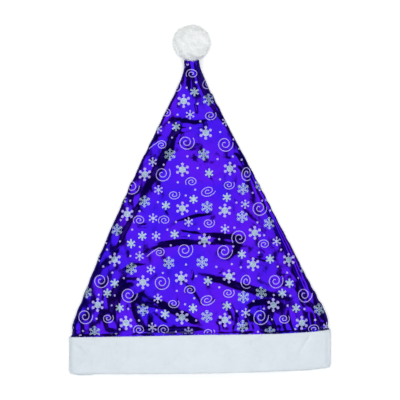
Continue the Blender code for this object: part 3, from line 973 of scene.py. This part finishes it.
def band_profile():
    """The band's wall cut across, as (depth in the wall, share of its height, drop from there)."""
    profile = rounded_rim(NAP, BAND_WALL - 2 * NAP, 0.0, -NAP, -HEM_ROUND, HEM_STEPS)
    profile += [(BAND_WALL - NAP, share, 0.0) for share in INSIDE_SHARES]
    profile += rounded_rim(BAND_WALL - NAP, NAP - LIP, 1.0, NAP, LIP_ROUND, LIP_STEPS)
    profile += [(depth, 1.0, GROOVE_DEPTH) for depth in (BAND_WALL - LIP, LIP)]
    profile += rounded_rim(LIP, NAP - LIP, 1.0, NAP, LIP_ROUND, LIP_STEPS)
    profile += [(NAP, share, 0.0) for share in np.linspace(*OUTSIDE_SHARES, BAND_ROWS)]
    return profile


def add_band(plush):
    """The band's padded body, with its lumps, creases and under layer."""
    loop = band_loop()
    grid = []
    for depth, share, drop in band_profile():
        x, z = inset_loop(loop, depth).T
        across = x / (BAND_WIDTH / 2)
        hem = BAND_TOP - BAND_HEIGHT + BAND_HEIGHT * column(EDGES, HEM_LIFT, across, EDGE_BLUR)
        edge = BAND_TOP + edge_tilt(x)
        under = (1 - smooth(z / (BAND_SIDE / 2))) * (1 - share)
        shown = smooth((across - UNDER_FROM) / UNDER_BLUR) * (1 - smooth((across - UNDER_TO) / UNDER_BLUR))
        y = hem + share * (edge - hem) - drop - UNDER_PEEK * under * shown
        lumps = BAND_LUMP * waves(x, y, *BAND_LUMP_WAVES)
        lumps += BAND_DENT * waves(x, y, *BAND_DENT_WAVES)
        for *places, fall, width in BAND_CREASES:
            lumps += valley_height(x, y, bent_line(*places), fall, width)
        top = smooth((z - BAND_SIDE / 2) / (BAND_SIDE / 2)) * (depth < BAND_WALL / 2)
        grid.append(np.stack((x, y, np.maximum(z + lumps * top, CLEARANCE)), 1))
    built = bmesh.new()
    rings = add_grid(built, grid)
    skin(built, [*rings, rings[0]], True)
    bmesh.ops.recalc_face_normals(built, faces=built.faces)
    return finish_mesh(built, "band_backing", (plush,))


# Pompom

def add_pompom(plush):
    centre = Vector((NECK_X, NECK + POMPOM_LENGTH / 2, POMPOM_HEIGHT / 2 - POMPOM_PRESS))
    sizes = Vector((POMPOM_WIDTH, POMPOM_LENGTH, POMPOM_HEIGHT)) / 2
    built = bmesh.new()
    bmesh.ops.create_icosphere(built, subdivisions=POMPOM_SPLITS, radius=1.0)
    for vertex in built.verts:
        way = vertex.co.normalized()
        lump = POMPOM_LUMP * waves(way.x + way.z, way.y - way.z, *POMPOM_WAVES)
        for axis in range(3):
            vertex.co[axis] = centre[axis] + way[axis] * (sizes[axis] - POMPOM_INSET + lump)
        vertex.co.z = max(vertex.co.z, CLEARANCE)
    for face in built.faces:
        face.smooth = True
    return finish_mesh(built, "pompom_core", (plush,))


# Nap

def surface_samples(piece, count, seed, wanted):
    """Points spread evenly over the wanted triangles of a piece, with their normals."""
    mesh = piece.data
    mesh.calc_loop_triangles()
    places = np.zeros(len(mesh.vertices) * 3)
    mesh.vertices.foreach_get("co", places)
    places = places.reshape(-1, 3)
    corners = np.zeros(len(mesh.loop_triangles) * 3, int)
    mesh.loop_triangles.foreach_get("vertices", corners)
    first, second, third = (places[corners[corner::3]] for corner in range(3))
    cross = np.cross(second - first, third - first)
    area = np.linalg.norm(cross, axis=1)
    normal = cross / (area[:, None] + TINY_AREA)
    area = area * wanted((first + second + third) / 3, normal)
    rng = np.random.default_rng(seed)
    pick = rng.choice(len(area), count, p=area / area.sum())
    u, v = rng.random((2, count, 1))
    flip = u + v > 1
    u, v = np.where(flip, 1 - u, u), np.where(flip, 1 - v, v)
    return first[pick] + u * (second[pick] - first[pick]) + v * (third[pick] - first[pick]), normal[pick]


def add_nap(name, base, blades, plush, wanted):
    """A pile of thin tapered blades that lean together in soft clumps."""
    count, length, width, lean, seed = blades
    roots, normals = surface_samples(base, count, seed, wanted)
    rng = np.random.default_rng(seed + 1)
    comb = np.stack([
        waves(roots[:, 0], roots[:, 1] + CLUMP_SLANT * roots[:, 2], size, seed + 2 + axis)
        for axis, size in enumerate(CLUMP_SIZES)
    ], 1) * CLUMP_STRENGTH + rng.normal(0, BLADE_STRAY, (count, 3))
    comb -= (comb * normals).sum(1)[:, None] * normals
    tall = length * rng.uniform(*BLADE_LENGTHS, (count, 1))
    side = np.cross(normals + lean * comb, normals)
    side *= width / 2 / (np.linalg.norm(side, axis=1)[:, None] + TINY)
    middle = roots + tall * (BEND_RISE * normals + BEND_LEAN * lean * comb)
    bend = BEND_WIDTH * side
    tips = roots + tall * (normals + lean * comb)
    places = np.stack((roots - side, roots + side, middle + bend, middle - bend, tips), 1)
    places[..., 2] = np.maximum(places[..., 2], NAP_CLEARANCE)
    start = np.arange(count)[:, None] * BLADE_CORNERS
    faces = np.concatenate((start + [0, 1, 2], start + [0, 2, 3], start + [3, 2, 4]), 1).reshape(-1, 3)
    return add_faces(name, places.reshape(-1, 3).tolist(), faces.tolist(), (plush,))


# Materials

def new_material(name, roughness=0.5, metallic=0.0):
    """A material with its node tree and its one shader."""
    material = bpy.data.materials.new(name)
    material.use_nodes = True
    tree = material.node_tree
    shader = tree.nodes["Principled BSDF"]
    shader.inputs["Roughness"].default_value = roughness
    shader.inputs["Metallic"].default_value = metallic
    return material, tree, shader


def noise(tree, scale, detail=3.0, roughness=0.5):
    place = tree.nodes.new("ShaderNodeTexCoord")
    texture = tree.nodes.new("ShaderNodeTexNoise")
    texture.inputs["Scale"].default_value = scale
    texture.inputs["Detail"].default_value = detail
    texture.inputs["Roughness"].default_value = roughness
    tree.links.new(place.outputs["Object"], texture.inputs["Vector"])
    return texture.outputs["Fac"]


def ramp(tree, value, stops):
    """A colour that runs between stops by a value."""
    node = tree.nodes.new("ShaderNodeValToRGB")
    for index, (place, colour) in enumerate(stops):
        stop = node.color_ramp.elements[index] if index < 2 else node.color_ramp.elements.new(place)
        stop.position = place
        stop.color = (*colour, 1.0)
    tree.links.new(value, node.inputs["Fac"])
    return node.outputs["Color"]


def tint(tree, shader, spots, stops):
    """Base colour that runs between stops by a noise."""
    tree.links.new(ramp(tree, noise(tree, *spots), stops), shader.inputs["Base Color"])


def gloss(tree, shader, spots, limits):
    """Roughness that runs between two limits by a noise."""
    node = tree.nodes.new("ShaderNodeMapRange")
    node.inputs["To Min"].default_value, node.inputs["To Max"].default_value = limits
    tree.links.new(noise(tree, *spots), node.inputs["Value"])
    tree.links.new(node.outputs["Result"], shader.inputs["Roughness"])


def grain(tree, shader, spots, strength, depth):
    """Fine bumps by a noise."""
    node = tree.nodes.new("ShaderNodeBump")
    node.inputs["Strength"].default_value = strength
    node.inputs["Distance"].default_value = depth
    tree.links.new(noise(tree, *spots), node.inputs["Height"])
    tree.links.new(node.outputs["Normal"], shader.inputs["Normal"])


def mixed(tree, first, second, output):
    """Two shaders mixed into the output, and the socket for the second one's share."""
    mixer = tree.nodes.new("ShaderNodeMixShader")
    tree.links.new(first, mixer.inputs[1])
    tree.links.new(second, mixer.inputs[2])
    tree.links.new(mixer.outputs["Shader"], tree.nodes[output].inputs["Surface"])
    return mixer.inputs["Fac"]


def by_ray(tree, kind, others, those, output):
    """One shader for the rays of this kind and another for all others."""
    path = tree.nodes.new("ShaderNodeLightPath")
    tree.links.new(path.outputs[kind], mixed(tree, others, those, output))


def foil_material():
    material, tree, shader = new_material("foil_cloth", metallic=FOIL_METAL)
    tint(tree, shader, *FOIL_TINT)
    gloss(tree, shader, *FOIL_GLOSS)
    grain(tree, shader, *FOIL_GRAIN)
    return material


def cloth_back_material():
    material, tree, shader = new_material("foil_cloth_back", BACK_ROUGHNESS)
    tint(tree, shader, *BACK_TINT)
    grain(tree, shader, *BACK_GRAIN)
    return material


def print_material():
    material, tree, shader = new_material("print_white", WHITE_ROUGHNESS)
    tint(tree, shader, *WHITE_TINT)
    return material


def frost_material():
    material, tree, shader = new_material("print_frost", FROST_ROUGHNESS, FROST_METAL)
    tint(tree, shader, *FROST_TINT)
    return material


def plush_material(name, shade, through=0.0):
    """White plush; part of the light passes through the thin hairs of its nap."""
    material, tree, shader = new_material(name, PLUSH_ROUGHNESS)
    shades = (tuple(PLUSH_DARKEST * part for part in shade), shade)
    tint(tree, shader, PLUSH_NOISE, tuple(zip(PLUSH_STOPS, shades)))
    shader.inputs["Specular IOR Level"].default_value = PLUSH_SPECULAR
    shader.inputs["Sheen Weight"].default_value = PLUSH_SHEEN
    if through > 0:
        lit = tree.nodes.new("ShaderNodeBsdfTranslucent")
        lit.inputs["Color"].default_value = (*shade, 1.0)
        mixed(tree, shader.outputs["BSDF"], lit.outputs["BSDF"], "Material Output").default_value = through
    return material


def floor_material():
    """A pale floor, which the foil reflects darker than it is."""
    material, tree, shader = new_material("floor", FLOOR_ROUGHNESS)
    shader.inputs["Base Color"].default_value = FLOOR_SHADE
    shader.inputs["Emission Color"].default_value = (1, 1, 1, 1)
    shader.inputs["Emission Strength"].default_value = FLOOR_GLOW
    dull = tree.nodes.new("ShaderNodeBsdfDiffuse")
    dull.inputs["Color"].default_value = FLOOR_REFLECTED
    by_ray(tree, "Is Glossy Ray", shader.outputs["BSDF"], dull.outputs["BSDF"], "Material Output")
    return material


# Floor, light and camera

def add_floor():
    built = bmesh.new()
    bmesh.ops.create_grid(built, x_segments=1, y_segments=1, size=FLOOR_SIZE)
    floor = finish_mesh(built, "floor", (floor_material(),))
    floor.location.z = -CLEARANCE


def add_light():
    """One wide soft light straight over the hat."""
    light = bpy.data.lights.new("softbox", "AREA")
    light.shape = "SQUARE"
    light.size = LIGHT_SIZE
    light.energy = LIGHT_WATTS
    item = add_item("softbox", light)
    item.location = (0, 0, LIGHT_HEIGHT)
    item.visible_camera = False


def add_world():
    """A studio's walls for the foil to reflect, and a pale ground for the camera."""
    world = bpy.data.worlds.new("studio")
    world.use_nodes = True
    tree = world.node_tree
    dim = tree.nodes["Background"]
    place = tree.nodes.new("ShaderNodeTexCoord")
    split = tree.nodes.new("ShaderNodeSeparateXYZ")
    tree.links.new(place.outputs["Generated"], split.inputs["Vector"])
    dim.inputs["Strength"].default_value = STUDIO_STRENGTH
    tree.links.new(ramp(tree, split.outputs["Z"], STUDIO_WALLS), dim.inputs["Color"])
    pale = tree.nodes.new("ShaderNodeBackground")
    pale.inputs["Color"].default_value = STUDIO_GROUND
    by_ray(tree, "Is Camera Ray", dim.outputs["Background"], pale.outputs["Background"], "World Output")
    bpy.context.scene.world = world


def add_camera():
    """The camera straight over the hat, whose picture is VIEW_WIDTH wide at VIEW_LEVEL."""
    camera = bpy.data.cameras.new("camera")
    camera.sensor_width = SENSOR
    camera.lens = SENSOR * (CAMERA_HEIGHT - VIEW_LEVEL) / VIEW_WIDTH
    item = add_item("camera", camera)
    item.location = (0, 0, CAMERA_HEIGHT)
    bpy.context.scene.camera = item


def dress(piece, slot, *nodes):
    """The piece rides on the hat's body and may stand for solids; the slot argument is not used."""
    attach(piece, "root")
    if nodes:
        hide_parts(*nodes)


crown, top_sheet, floor_sheet = add_crown(foil_material(), cloth_back_material())
dress(crown, "foil_cloth", "crown")
white, frost = print_material(), frost_material()
dress(add_print(top_sheet, True, FRONT_SHIFT, white, frost, "print_front"), "foil_cloth")
dress(add_print(floor_sheet, False, BACK_SHIFT, white, frost, "print_back"), "foil_cloth")

band = add_band(plush_material("band_plush", BAND_SHADE))
dress(band, "band_plush", "brim_band")
dress(add_nap(
    "band_nap", band, BAND_BLADES, plush_material("band_nap", BAND_NAP_SHADE, BAND_NAP_THROUGH),
    lambda place, normal: (place[:, 2] > BAND_NAP_HEIGHT) | (normal[:, 2] > BAND_NAP_FACING),
), "band_plush")

pompom = add_pompom(plush_material("pompom_plush", POMPOM_SHADE))
dress(pompom, "pompom_plush", "pompom")
dress(add_nap(
    "pompom_nap", pompom, POMPOM_BLADES, plush_material("pompom_nap", POMPOM_SHADE, POMPOM_NAP_THROUGH),
    lambda place, normal: place[:, 2] > POMPOM_NAP_HEIGHT,
), "pompom_plush")

add_floor()
add_light()
add_world()
add_camera()
bpy.context.scene.view_settings.view_transform = "Standard"
